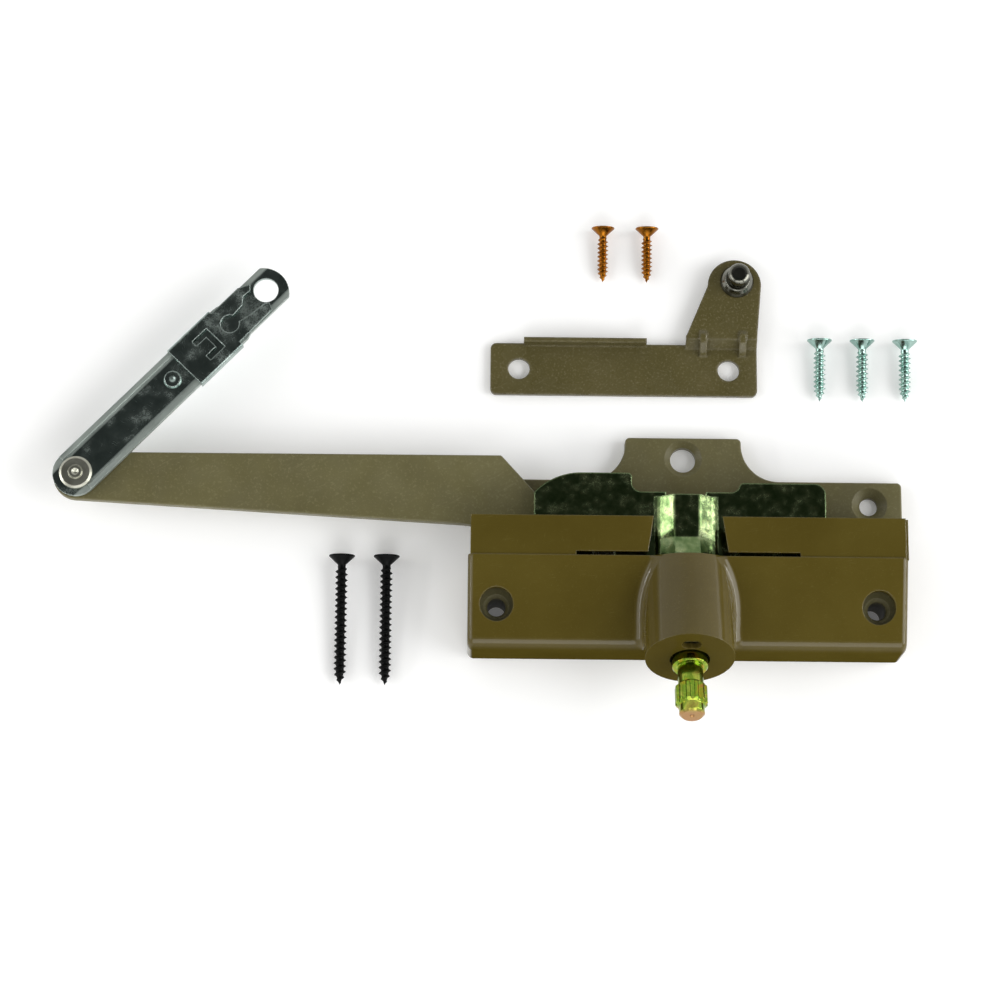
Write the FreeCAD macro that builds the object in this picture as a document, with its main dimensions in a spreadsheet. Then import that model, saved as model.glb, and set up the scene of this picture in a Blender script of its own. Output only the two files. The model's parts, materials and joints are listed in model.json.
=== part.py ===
"""Single-arm casement window operator with its link, sash bracket and screws.

Millimetres. X runs along the sill, Y towards the outside of the window, Z up from the
mounting face. X = 0 is the crank's plane, Y = 0 lies midway between the two rows of
mounting screws, and Z = 0 is the face that rests on the sill.
"""
import FreeCAD, Part
import math
import os
import re
import Sketcher
from FreeCAD import Placement, Rotation, Vector

DIMENSIONS = [
    # base casting
    ("screw_x", 62.0, "mounting screws, half their spacing along X"),
    ("screw_y", 19.05, "mounting screws, half their spacing along Y"),
    ("screw_hole", 3.0, "mounting screw hole radius"),
    ("flange_x", 72.8, "half width of the flange"),
    ("flange_y", 26.8, "back edge of the flange"),
    ("flange_thick", 4.5, "flange and floor thickness"),
    ("flange_step_y", 11.5, "where the flange widens beyond the cover"),
    ("floor_x", 69.2, "half width of the floor inside the cover"),
    ("floor_front", -30.8, "front edge of the floor"),
    ("flange_sink", 5.85, "countersink radius on the flange"),
    ("tab_x", 19.4, "half width of the centre tab"),
    ("tab_y", 41.5, "back edge of the centre tab"),
    ("tab_round", 12.5, "concave radius beside the tab"),
    ("tab_hole_y", 34.3, "centre of the tab's hole"),
    ("tab_hole", 4.25, "tab hole radius"),
    ("tab_sink", 6.2, "tab countersink radius"),
    ("tower_radius", 6.4, "front screw tower radius"),
    ("tower_top", 16.5, "top of the front screw towers"),
    ("tower_sink", 4.1, "countersink radius on a tower"),
    ("post_radius", 4.0, "retainer plate post radius"),
    ("post_left_x", -46.0, "left post"),
    ("post_right_x", 27.0, "right posts"),
    ("post_front_y", -17.0, "front posts"),
    ("post_back_y", 4.0, "back post"),
    ("cradle_x", 9.5, "half width of the worm cradle"),
    ("cradle_front", -14.0, "front of the worm cradle"),
    ("cradle_back", 19.8, "back of the worm cradle"),
    # shaft line
    ("tilt", 22.0, "rise of the crank shaft towards the user, in degrees"),
    ("boss_face_y", -37.5, "centre of the cover boss's end face"),
    ("boss_face_z", 29.0, "height of the cover boss's end face"),
    ("shaft_drop", 1.2, "shaft axis below the boss axis"),
    ("snout_radius", 11.0, "casting snout radius"),
    ("snout_bore", 6.6, "bore of the snout"),
    ("snout_front", 2.6, "snout end, behind the boss face"),
    ("snout_back", 31.0, "inner end of the snout bore"),
    ("worm_clear", 7.0, "bore around the worm"),
    ("worm_front", 31.8, "front end of the worm's core, behind the boss face"),
    ("worm_back", 50.0, "rear end of the worm"),
    ("journal_radius", 4.5, "front journal radius"),
    ("tail_radius", 3.2, "rear journal radius"),
    ("tail_end", 56.5, "end of the rear journal"),
    ("cup_radius", 5.0, "rear bush outer radius"),
    ("cup_front", 50.8, "open end of the rear bush"),
    ("cup_end", 57.8, "closed end of the rear bush"),
    ("fit_gap", 0.02, "radial gap of a fixed fit"),
    ("run_gap", 0.05, "radial gap of a running fit"),
    # gear pair
    ("gear_teeth", 36, "teeth on the full gear circle"),
    ("gear_radius", 21.6, "gear pitch radius"),
    ("gear_tip", 22.7, "gear outer radius"),
    ("gear_root", 20.3, "gear root radius"),
    ("gear_gap", 2.66, "width of a tooth space at the pitch radius"),
    ("worm_pitch_radius", 5.4, "worm pitch radius"),
    ("worm_tip", 6.25, "worm outer radius"),
    ("worm_root", 4.0, "worm core radius"),
    ("worm_tooth", 1.3, "worm thread width at the pitch radius"),
    ("flank", 20.0, "flank angle of the teeth, in degrees"),
    ("gear_spaces", 12, "tooth spaces on the sector"),
    ("sector_back", 20.0, "clockwise end of the sector, in degrees"),
    ("sector_front", 110.0, "counter-clockwise end of the sector, in degrees"),
    # arm
    ("pivot_x", -27.0, "arm pivot"),
    ("pivot_y", -1.5, "arm pivot"),
    ("pin_radius", 4.0, "pivot pin radius in the arm"),
    ("pin_foot", 3.0, "pivot pin radius in the base"),
    ("pin_head", 2.5, "pivot pin radius in the retainer plate"),
    ("hub_radius", 13.0, "arm hub radius"),
    ("hub_washer", 7.5, "pivot washer radius"),
    ("bush_radius", 6.0, "arm bush outer radius"),
    ("boss_top", 8.4, "top of the pivot boss on the base"),
    ("arm_bottom", 9.2, "underside of the arm"),
    ("arm_thick", 3.0, "arm thickness"),
    ("gear_thick", 2.4, "gear thickness"),
    ("gear_rivet_reach", 9.6, "gear rivets from the pivot"),
    ("rivet_shank", 1.5, "small rivet shank radius"),
    ("rivet_head", 2.6, "small rivet head radius"),
    ("elbow_x", -201.0, "pivot between arm and link"),
    ("elbow_y", 24.9, "pivot between arm and link"),
    ("arm_end", 7.8, "arm end radius"),
    ("elbow_hole", 2.6, "arm hole radius at the link pivot"),
    ("shoulder_x", -60.8, "where the arm's back edge turns in to the cover"),
    ("shoulder_y", 33.0, "where the arm's back edge turns in to the cover"),
    ("waist_x", -71.9, "where the arm's front edge turns in to the cover"),
    ("waist_y", 9.5, "where the arm's front edge turns in to the cover"),
    # retainer plate
    ("plate_bottom", 15.0, "underside of the retainer plate"),
    ("plate_thick", 1.2, "retainer plate thickness"),
    ("plate_left", -49.9, "left edge of the retainer plate"),
    ("plate_right", 46.0, "right edge of the retainer plate"),
    ("plate_front", -21.0, "front edge of the retainer plate"),
    ("wing_left_y", 26.4, "back edge of the left wing"),
    ("wing_right_y", 23.3, "back edge of the right wing"),
    ("notch_y", 20.1, "back edge of the plate between its wings"),
    ("notch_x", 17.8, "half width of the plate's notch"),
    ("throat_x", 12.6, "half width of the opening for the snout"),
    ("throat_y", -4.6, "back of the opening for the snout"),
    ("hat_foot", 8.9, "hat half width at its foot"),
    ("hat_crown", 4.0, "hat half width at its crown"),
    ("hat_rise", 4.5, "hat height above the plate"),
    ("hat_back", 18.4, "back edge of the hat's crown"),
    ("hat_bend", 4.0, "where the hat starts to climb"),
    ("hat_front", -2.2, "front edge of the hat"),
    ("hat_climb", 3.4, "extra height of the hat at its front"),
    ("lip_drop", 1.7, "depth of the turned-down left edge"),
    # cover
    ("cover_x", 71.4, "half width of the cover"),
    ("cover_front", -33.5, "front wall of the cover"),
    ("cover_bottom", 1.5, "lower edge of the cover"),
    ("cover_low", 18.0, "top face at the front wall"),
    ("fold_y", -3.4, "fold line between the face and the flaps"),
    ("fold_z", 26.0, "height of the fold line"),
    ("cover_wall", 1.8, "cover wall thickness"),
    ("flap_x", 70.6, "half width over the flaps"),
    ("flap_y", 9.8, "back edge of the flaps"),
    ("flap_z", 25.6, "height of the flaps' back edge"),
    ("flap_thick", 1.6, "flap thickness"),
    ("flap_drop", 0.4, "step down from the face to the flaps"),
    ("flap_gap_back", 11.2, "half width between the flaps at their back edge"),
    ("flap_gap_front", 13.3, "half width between the flaps at the fold"),
    ("slot_end", 36.3, "outer end of the slots beside the fold"),
    ("slot_width", 1.4, "width of the slots beside the fold"),
    ("boss_radius", 14.4, "cover boss radius"),
    ("boss_wall", 2.0, "boss wall thickness"),
    ("boss_hole", 6.45, "shaft hole radius in the boss face"),
    ("oil_hole_rise", 7.9, "lubrication hole above the boss axis"),
    ("cover_hole", 5.4, "cover hole radius over a screw tower"),
    # crank end of the shaft
    ("collar_radius", 5.75, "shaft collar radius"),
    ("collar_end", 3.2, "front of the collar, beyond the boss face"),
    ("neck_radius", 4.1, "neck radius"),
    ("spline_radius", 5.2, "splined crank end radius"),
    ("spline_start", 9.6, "start of the splines"),
    ("spline_end", 17.4, "end of the splines"),
    ("tip_radius", 4.1, "tip radius"),
    ("shaft_tip", 20.7, "end of the shaft beyond the boss face"),
    ("spline_teeth", 12, "number of splines"),
    ("spline_groove", 0.9, "groove radius between splines"),
    # link
    ("link_angle", 46.3, "direction of the link, in degrees"),
    ("link_length", 88.0, "elbow to socket"),
    ("link_width", 15.4, "link width"),
    ("link_tip_width", 14.0, "link width at the socket"),
    ("link_bottom", 13.0, "underside of the link"),
    ("link_thick", 1.4, "link thickness"),
    ("link_bead", 1.6, "width of the raised edges"),
    ("link_bead_rise", 0.5, "height of the raised edges"),
    ("link_bead_end", 72.0, "end of the raised edges"),
    ("link_tip", 95.4, "end of the link"),
    ("socket_radius", 4.15, "socket hole radius"),
    ("elbow_rivet", 2.55, "elbow rivet shank radius"),
    ("elbow_head", 5.45, "elbow rivet head radius"),
    ("stop_at", 44.5, "stop rivet from the elbow"),
    ("stop_head", 3.1, "stop rivet head radius"),
    ("lock_start", 50.0, "rear edge of the slide lock"),
    ("lock_end", 69.2, "front edge of the slide lock's sleeve"),
    ("lock_thick", 0.6, "slide lock sheet thickness"),
    ("lock_gap", 0.06, "play between the slide lock and the link"),
    ("lock_reach", 85.6, "ends of the fork's prongs"),
    ("lock_hole_at", 71.2, "round hole in the fork"),
    ("lock_hole", 3.05, "radius of the fork's round hole"),
    # sash bracket
    ("bracket_x", -19.7, "middle of the bracket's screw holes"),
    ("bracket_y", 65.8, "middle of the bracket's screw holes"),
    ("bracket_half", 45.0, "half length of the bracket"),
    ("bracket_width", 17.8, "width of the bracket's foot"),
    ("bracket_thick", 2.0, "bracket sheet thickness"),
    ("bracket_screw_x", 35.4, "half the spacing of the bracket's holes"),
    ("bracket_hole", 3.65, "bracket hole radius"),
    ("ear_left", 21.0, "foot of the ear's slanted edge"),
    ("ear_lift", 3.0, "height of the ear above the foot"),
    ("stud_x", 38.3, "stud on the ear"),
    ("stud_y", 30.6, "stud on the ear"),
    ("ear_x", 37.5, "middle of the ear's round end"),
    ("ear_y", 29.2, "middle of the ear's round end"),
    ("ear_round", 9.0, "radius of the ear's end"),
    ("stud_neck", 2.4, "stud neck radius"),
    ("stud_ball", 3.65, "stud head radius"),
    ("stud_collar", 5.7, "stud collar radius"),
    ("stud_top", 14.8, "top of the stud's head"),
    ("lip_left", -33.8, "left end of the bracket's upright lip"),
    ("lip_right", 7.6, "right end of the bracket's upright lip"),
    ("lip_top", 6.2, "height of the bracket's upright lip"),
]

doc = FreeCAD.newDocument("casement_operator")
size = doc.addObject("Spreadsheet::Sheet", "size")
for row, (alias, number, meaning) in enumerate(DIMENSIONS, start=1):
    size.set(f"A{row}", str(number))
    size.set(f"B{row}", meaning)
    size.setAlias(f"A{row}", alias)
doc.recompute()

ALIASES = {alias for alias, number, meaning in DIMENSIONS}
NODES = []


# ---- helpers ------------------------------------------------------------------------

def on_sheet(text):
    """The expression with every dimension's name pointing at the sheet."""
    return re.sub(r"[a-z_]+", lambda name: ("size." if name[0] in ALIASES else "") + name[0], str(text))


def value(text):
    """The number that a sheet expression stands for now."""
    return float(size.evalExpression(str(text)))


def bind(thing, prop, text):
    thing.setExpression(prop, on_sheet(text))


def bind_base(thing, prop, x, y, z):
    for letter, text in zip("xyz", (x, y, z)):
        bind(thing, f"{prop}.{letter}", text)


def sub_part(label, x="0", y="0", z="0", rotation=None):
    """A body for one sub-part, placed at a point and turned by rotation."""
    body = doc.addObject("PartDesign::Body", label)
    body.Label = label
    body.Placement = Placement(Vector(0, 0, 0), rotation or Rotation())
    bind_base(body, "Placement.Base", x, y, z)
    NODES.append(body)
    return body


def shaft_part(label):
    """A body whose own Z runs out along the crank shaft, from the plane of the boss face."""
    body = sub_part(label, "0", "boss_face_y - shaft_drop * sin(tilt)",
                    "boss_face_z - shaft_drop * cos(tilt)", Rotation(Vector(1, 0, 0), 68))
    bind(body, "Placement.Rotation.Angle", "90 - tilt")
    return body


def origin_feature(body, role):
    return next(item for item in body.Origin.OriginFeatures if item.Role == role)


def new_sketch(body, name, plane, level):
    sketch = body.newObject("Sketcher::SketchObject", name)
    sketch.AttachmentSupport = [(origin_feature(body, plane), "")]
    sketch.MapMode = "FlatFace"
    bind(sketch, "AttachmentOffset.Base.z", level)
    return sketch


def pin_point(sketch, geometry, point, x, y):
    """Holds one point of a sketch at x, y from the sketch's origin."""
    for kind, text in (("DistanceX", x), ("DistanceY", y)):
        index = sketch.addConstraint(Sketcher.Constraint(kind, -1, 1, geometry, point, value(text)))
        bind(sketch, f"Constraints[{index}]", text)


def outline(body, name, corners, plane="XY_Plane", level="0"):
    """A closed sketch of straight lines through corners, each a pair of expressions."""
    sketch = new_sketch(body, name, plane, level)
    points = [Vector(value(x), value(y), 0) for x, y in corners]
    for index, point in enumerate(points):
        sketch.addGeometry(Part.LineSegment(point, points[(index + 1) % len(points)]), False)
    for index, (x, y) in enumerate(corners):
        sketch.addConstraint(Sketcher.Constraint("Coincident", index, 2, (index + 1) % len(points), 1))
        pin_point(sketch, index, 1, x, y)
    return sketch


def circles(body, name, rings, plane="XY_Plane", level="0"):
    """A sketch of circles, each a centre and a radius."""
    sketch = new_sketch(body, name, plane, level)
    for index, (x, y, radius) in enumerate(rings):
        circle = Part.Circle(Vector(value(x), value(y), 0), Vector(0, 0, 1), value(radius))
        sketch.addGeometry(circle, False)
        pin_point(sketch, index, 3, x, y)
        row = sketch.addConstraint(Sketcher.Constraint("Radius", index, value(radius)))
        bind(sketch, f"Constraints[{row}]", radius)
    return sketch


def block(left, right, front, back):
    """The four corners of a rectangle, for outline."""
    return [(left, front), (right, front), (right, back), (left, back)]


def feature(body, kind, sketch, **settings):
    item = body.newObject(f"PartDesign::{kind}", f"{sketch.Name}_{kind.lower()}")
    item.Profile = sketch
    for prop, setting in settings.items():
        setattr(item, prop, setting)
    return item


def pad(body, sketch, length, **settings):
    item = feature(body, "Pad", sketch, **settings)
    bind(item, "Length", length)
    return item


def pocket(body, sketch, depth, **settings):
    """Cuts from the sketch's level against its normal."""
    item = feature(body, "Pocket", sketch, **settings)
    bind(item, "Length", depth)
    return item


def turned(body, name, profile, kind="Revolution"):
    """A solid turned about the body's own Z from (radius, height) corners."""
    sketch = outline(body, name, profile, "XZ_Plane")
    return feature(body, kind, sketch, ReferenceAxis=(origin_feature(body, "Z_Axis"), ""), Angle=360)


def loft(body, sketch, other, kind="AdditiveLoft"):
    return feature(body, kind, sketch, Sections=[other], Ruled=True)


def round_edges(body, name, radius, spots, kind="Fillet"):
    """Rounds or bevels the edges of the body's present shape nearest to the given points."""
    doc.recompute()
    base = body.Tip
    found = set()
    for spot in spots:
        point = Part.Vertex(Vector(*(value(text) for text in spot)))
        edges = base.Shape.Edges
        nearest = min(range(len(edges)), key=lambda index: edges[index].distToShape(point)[0])
        found.add(f"Edge{nearest + 1}")
    item = body.newObject(f"PartDesign::{kind}", name)
    item.Base = (base, sorted(found))
    bind(item, "Radius" if kind == "Fillet" else "Size", radius)
    return item


def shaft_cylinder(body, name, kind, radius, back, length, drop="shaft_drop", x="0"):
    """A cylinder along the shaft line; back is how far its rear end lies behind the boss face."""
    item = body.newObject(f"PartDesign::{kind}Cylinder", name)
    item.Placement = Placement(Vector(0, 0, 0), Rotation(Vector(1, 0, 0), 68))
    bind(item, "Placement.Rotation.Angle", "90 - tilt")
    bind(item, "Radius", radius)
    bind(item, "Height", length)
    bind_base(item, "Placement.Base", x,
              f"boss_face_y - ({drop}) * sin(tilt) + ({back}) * cos(tilt)",
              f"boss_face_z - ({drop}) * cos(tilt) - ({back}) * sin(tilt)")
    return item


def ring(label, inner, outer, bottom, height, x="0", y="0"):
    """A flat ring standing on the plane at bottom."""
    body = sub_part(label, x, y, bottom)
    pad(body, circles(body, f"{label}_face", [("0", "0", outer), ("0", "0", inner)]), height)
    return body


def pattern(body, kind, originals, count, **settings):
    item = body.newObject(f"PartDesign::{kind}", f"{originals[0].Name}_{kind.lower()}")
    item.Originals = originals
    for prop, setting in settings.items():
        setattr(item, prop, setting)
    bind(item, "Occurrences", count)
    body.Tip = item
    return item


# ---- gear geometry ------------------------------------------------------------------

def gear_geometry():
    """Pitch of the worm, slant of the gear teeth and phase of the worm's thread.

    The worm lies at the tilt angle to the gear's plane. Its lead angle takes up a part of
    that tilt and the gear's teeth slant by the rest.
    """
    tilt = math.radians(value("tilt"))
    tooth_pitch = 2 * math.pi * value("gear_radius") / value("gear_teeth")
    around = 2 * math.pi * value("worm_pitch_radius")
    lead = math.atan(tooth_pitch * math.cos(tilt) / (around - tooth_pitch * math.sin(tilt)))
    worm_pitch = around * math.tan(lead)
    middle = value("arm_bottom + arm_thick + gear_thick / 2")
    along_y = value("pivot_y - boss_face_y + shaft_drop * sin(tilt)")
    along_z = middle - value("boss_face_z - shaft_drop * cos(tilt)")
    along_shaft = along_z * math.sin(tilt) - along_y * math.cos(tilt)
    above_shaft = along_y * math.sin(tilt) + along_z * math.cos(tilt)
    phase = along_shaft - above_shaft * math.tan(lead)
    return worm_pitch, tilt - lead, phase


WORM_PITCH, TOOTH_SLANT, THREAD_PHASE = gear_geometry()


# ---- base ---------------------------------------------------------------------------

def base_casting():
    body = sub_part("base_casting")
    floor = outline(body, "floor", [
        ("-floor_x", "floor_front"), ("floor_x", "floor_front"), ("floor_x", "flange_step_y"),
        ("flange_x", "flange_step_y"), ("flange_x", "flange_y"), ("tab_x", "flange_y"),
        ("tab_x", "tab_y"), ("-tab_x", "tab_y"), ("-tab_x", "flange_y"), ("-flange_x", "flange_y"),
        ("-flange_x", "flange_step_y"), ("-floor_x", "flange_step_y")])
    pad(body, floor, "flange_thick")
    middle = "flange_thick / 2"
    round_edges(body, "tab_shoulders", "tab_round", [
        (side + "tab_x", "flange_y", middle) for side in ("", "-")])
    round_edges(body, "outer_corners", "1.6", [
        (side + x, y, middle) for side in ("", "-")
        for x, y in (("flange_x", "flange_y"), ("tab_x", "tab_y"), ("floor_x", "floor_front"))])
    round_edges(body, "top_edge", "0.6", [
        (x, y, "flange_thick") for x, y in (("flange_x - 20", "flange_y"), ("0", "tab_y"))])
    towers = circles(body, "towers", [
        (side + "screw_x", "-screw_y", "tower_radius") for side in ("", "-")])
    pad(body, towers, "tower_top")
    posts = circles(body, "posts", [
        ("post_left_x", "post_front_y", "post_radius"),
        ("post_right_x", "post_front_y", "post_radius"),
        ("post_right_x", "post_back_y", "post_radius")])
    pad(body, posts, "plate_bottom")
    pad(body, circles(body, "pivot_boss", [("pivot_x", "pivot_y", "hub_washer")]), "boss_top")
    cradle = outline(body, "cradle", [
        ("-cradle_x", "cradle_front"), ("cradle_x", "cradle_front"),
        ("cradle_x", "cradle_back - 3.5"), ("cradle_x - 3.5", "cradle_back"),
        ("3.5 - cradle_x", "cradle_back"), ("-cradle_x", "cradle_back - 3.5")])
    pad(body, cradle, "plate_bottom")
    web = outline(body, "snout_web", [
        ("floor_front", "0"), ("cradle_front + 4", "0"), ("cradle_front + 4", "plate_bottom"),
        ("floor_front", "14.4")], "YZ_Plane", "-cradle_x")
    pad(body, web, "2 * cradle_x")
    for side in ("left", "right"):
        start = "-screw_x" if side == "left" else "cradle_x - 1"
        rib = outline(body, f"{side}_rib", block(start, f"{start} + screw_x - cradle_x + 1",
                                                 "-screw_y - 1.2", "-screw_y + 1.2"))
        pad(body, rib, "boss_top - 1")
    shaft_cylinder(body, "snout", "Additive", "snout_radius", "snout_back", "snout_back - snout_front")
    shaft_cylinder(body, "snout_bore_cut", "Subtractive", "snout_bore", "snout_back + 2", "snout_back + 2")
    shaft_cylinder(body, "ring_groove", "Subtractive", "snout_bore + 0.9", "7.7", "1.2")
    shaft_cylinder(body, "worm_room", "Subtractive", "worm_clear", "worm_back + 0.6",
                   "worm_back + 0.6 - snout_back")
    shaft_cylinder(body, "cup_seat", "Subtractive", "cup_radius + fit_gap", "cup_end + 0.02",
                   "cup_end - worm_back + 1")
    clearance = circles(body, "gear_room", [("pivot_x", "pivot_y", "gear_tip + 0.6")],
                        level="plate_bottom + 0.01")
    pocket(body, clearance, "plate_bottom - boss_top + 0.11")
    pin_hole = circles(body, "pin_hole", [("pivot_x", "pivot_y", "pin_foot + fit_gap")], level="boss_top")
    pocket(body, pin_hole, "boss_top - 1.5")
    rivet_holes = circles(body, "rivet_holes", [
        ("post_left_x", "post_front_y", "rivet_shank + fit_gap"),
        ("post_right_x", "post_front_y", "rivet_shank + fit_gap"),
        ("post_right_x", "post_back_y", "rivet_shank + fit_gap")], level="plate_bottom")
    pocket(body, rivet_holes, "6")
    holes = circles(body, "screw_holes", [
        (side + "screw_x", end + "screw_y", "screw_hole")
        for side in ("", "-") for end in ("", "-")] + [("0", "tab_hole_y", "tab_hole")], level="tower_top")
    pocket(body, holes, "tower_top")
    round_edges(body, "flange_sinks", "flange_sink - screw_hole", [
        (side + "screw_x - screw_hole", "screw_y", "flange_thick") for side in ("", "-")], "Chamfer")
    round_edges(body, "tower_sinks", "tower_sink - screw_hole", [
        (side + "screw_x - screw_hole", "-screw_y", "tower_top") for side in ("", "-")], "Chamfer")
    round_edges(body, "tab_sink_bevel", "tab_sink - tab_hole", [
        ("tab_hole", "tab_hole_y", "flange_thick")], "Chamfer")


def retainer_plate():
    body = sub_part("retainer_plate")
    top = "plate_bottom + plate_thick"
    sheet = outline(body, "plate", [
        ("plate_left", "plate_front"), ("-throat_x", "plate_front"), ("-throat_x", "throat_y"),
        ("throat_x", "throat_y"), ("throat_x", "plate_front"), ("plate_right", "plate_front"),
        ("plate_right", "wing_right_y"), ("notch_x", "wing_right_y"), ("notch_x", "notch_y"),
        ("-notch_x", "notch_y"), ("-notch_x", "wing_left_y"), ("plate_left + 7", "wing_left_y"),
        ("plate_left", "wing_left_y - 6.8")], level="plate_bottom")
    pad(body, sheet, "plate_thick")
    middle = "plate_bottom + plate_thick / 2"
    round_edges(body, "left_sweep", "21", [("plate_left + 7", "wing_left_y", middle)])
    round_edges(body, "wing_corners", "3.6", [("plate_right", "wing_right_y", middle)])
    round_edges(body, "notch_corners", "3", [
        (side + "notch_x", "notch_y", middle) for side in ("", "-")])
    round_edges(body, "small_corners", "1.3", [
        ("plate_left", "wing_left_y - 6.8", middle), ("-notch_x", "wing_left_y", middle),
        ("notch_x", "wing_right_y", middle), ("plate_left", "plate_front", middle),
        ("plate_right", "plate_front", middle)])
    lip = outline(body, "left_lip", block("plate_left", "plate_left + 0.9",
                                          "post_front_y + post_radius + 1", "wing_left_y - 8"),
                  level="plate_bottom - lip_drop")
    pad(body, lip, "lip_drop + 0.2")

    def hat_section(name, y, foot_z, shrink, climb):
        """A section across the hat; shrink steps it in from the outer surface, which flares at its foot."""
        side = [(f"hat_foot - {shrink} + 0.4", foot_z)]
        if shrink == "0":
            side = [("hat_foot + 1.5", foot_z), ("hat_foot + 1.5", f"{top} + 0.05"),
                    ("hat_foot + 0.5", f"{top} + 0.35"), ("hat_foot - 0.4", f"{top} + 0.95")]
        side.append((f"hat_crown - {shrink} * 0.3", f"{top} + hat_rise + {climb} - {shrink} * 0.75"))
        return outline(body, name, side + [(f"-({x})", z) for x, z in reversed(side)],
                       "XZ_Plane", f"-({y})")

    outer_foot = f"{top} - 0.4"
    pad(body, hat_section("hat", "hat_back", outer_foot, "0", "0"), "hat_back - hat_bend")
    loft(body, hat_section("hat_ramp_back", "hat_bend", outer_foot, "0", "0"),
         hat_section("hat_ramp_front", "hat_front", outer_foot, "0", "hat_climb"))
    crown = f"{top} + hat_rise"
    round_edges(body, "hat_crown_bends", "2", [
        (side + "hat_crown", "(hat_back + hat_bend) / 2", crown) for side in ("", "-")])
    inner_foot = "plate_bottom - 0.1"
    pocket(body, hat_section("hat_inside", "hat_bend", inner_foot, "1.6", "0"), "hat_back + 3 - hat_bend")
    loft(body, hat_section("hat_inside_back", "hat_bend", inner_foot, "1.6", "0"),
         hat_section("hat_inside_front", "hat_front - 4", inner_foot, "1.6", "hat_climb * 1.6"),
         "SubtractiveLoft")
    holes = circles(body, "plate_holes", [
        ("post_left_x", "post_front_y", "rivet_shank + fit_gap"),
        ("post_right_x", "post_front_y", "rivet_shank + fit_gap"),
        ("post_right_x", "post_back_y", "rivet_shank + fit_gap"),
        ("pivot_x", "pivot_y", "pin_head + fit_gap")], level=top)
    pocket(body, holes, "plate_thick + 0.1")


def plate_rivets():
    body = sub_part("plate_rivets", "post_right_x", "post_front_y", "plate_bottom")
    places = [("0", "0"), ("0", "post_back_y - post_front_y"), ("post_left_x - post_right_x", "0")]
    shanks = circles(body, "rivet_shanks", [(x, y, "rivet_shank") for x, y in places], level="-5.5")
    pad(body, shanks, "5.5 + plate_thick")
    heads = circles(body, "rivet_heads", [(x, y, "rivet_head") for x, y in places], level="plate_thick")
    pad(body, heads, "0.9")


# ---- shaft line ---------------------------------------------------------------------

def worm_shaft():
    body = shaft_part("worm_shaft")
    turned(body, "shaft", [
        ("0", "-tail_end"), ("tail_radius - 0.4", "-tail_end"), ("tail_radius", "0.4 - tail_end"),
        ("tail_radius", "-worm_back"), ("worm_root", "-worm_back"), ("worm_root", "-worm_front"),
        ("worm_pitch_radius", "-worm_front"), ("worm_pitch_radius", "-worm_front + 1.2"),
        ("journal_radius", "-worm_front + 1.2"), ("journal_radius", "-2.2"),
        ("collar_radius", "-2.2"), ("collar_radius", "collar_end - 0.5"),
        ("collar_radius - 0.5", "collar_end"), ("neck_radius", "collar_end"),
        ("neck_radius", "spline_start"), ("spline_radius", "spline_start + 1"),
        ("spline_radius", "spline_end - 1"), ("tip_radius", "spline_end"),
        ("tip_radius", "shaft_tip - 0.8"), ("tip_radius - 0.8", "shaft_tip"),
        ("0.9", "shaft_tip"), ("0", "shaft_tip - 0.9")])
    doc.recompute()
    groove = circles(body, "spline_groove_face", [("spline_radius + 0.25", "0", "spline_groove")],
                     level="spline_end + 0.1")
    cut = pocket(body, groove, "spline_end - spline_start + 0.2")
    doc.recompute()
    pattern(body, "PolarPattern", [cut], "spline_teeth",
            Axis=(origin_feature(body, "Z_Axis"), ""), Angle=360)
    doc.recompute()
    start = THREAD_PHASE - WORM_PITCH * math.floor((THREAD_PHASE + value("worm_back") - 1.4) / WORM_PITCH)
    turns = math.floor((value("-worm_front - 1.4") - start) / WORM_PITCH * 4) / 4
    slope = "tan(flank)"
    half = "worm_tooth / 2"
    core = f"{half} + (worm_pitch_radius - worm_root + 0.4) * {slope}"
    crest = f"{half} - (worm_tip - worm_pitch_radius) * {slope}"
    tooth = outline(body, "thread_tooth", [
        ("-worm_root + 0.4", f"{start} - ({core})"), ("-worm_root + 0.4", f"{start} + ({core})"),
        ("-worm_tip", f"{start} + ({crest})"), ("-worm_tip", f"{start} - ({crest})")], "XZ_Plane")
    feature(body, "AdditiveHelix", tooth, ReferenceAxis=(origin_feature(body, "Z_Axis"), ""),
            Mode=0, Pitch=WORM_PITCH, Height=turns * WORM_PITCH, LeftHanded=True)


def bearings():
    bush = shaft_part("front_bushing")
    turned(bush, "bush_section", [
        ("journal_radius + run_gap", "-29.2"), ("snout_bore - fit_gap", "-29.2"),
        ("snout_bore - fit_gap", "-7.9"), ("journal_radius + run_gap", "-7.9")])
    washer = shaft_part("thrust_washer")
    turned(washer, "washer_section", [
        ("journal_radius + run_gap + 0.2", "-30.5"), ("snout_bore - 0.2", "-30.5"),
        ("snout_bore - 0.2", "-29.3"), ("journal_radius + run_gap + 0.2", "-29.3")])
    snap = shaft_part("retaining_ring")
    snap_face = circles(snap, "snap_face",
                        [("0", "0", "snout_bore + 0.8"), ("0", "0", "journal_radius + 0.7")],
                        level="-7.6")
    pad(snap, snap_face, "1.0")
    doc.recompute()
    gap = outline(snap, "snap_gap", block("-1.6", "1.6", "journal_radius", "snout_bore + 2"), level="-6")
    pocket(snap, gap, "3")
    seal = shaft_part("shaft_seal")
    turned(seal, "seal_section", [
        ("journal_radius + run_gap", "-6.2"), ("snout_bore - fit_gap", "-6.2"),
        ("snout_bore - fit_gap", "-3.2"), ("journal_radius + 0.9", "-3.2"),
        ("journal_radius + run_gap", "-4.4")])
    cup = shaft_part("rear_bushing")
    turned(cup, "cup_section", [
        ("0", "-cup_end"), ("cup_radius", "-cup_end"), ("cup_radius", "-cup_front"),
        ("tail_radius + run_gap", "-cup_front"), ("tail_radius + run_gap", "-tail_end - 0.2"),
        ("0", "-tail_end - 0.2")])


# ---- arm and gear -------------------------------------------------------------------

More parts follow.
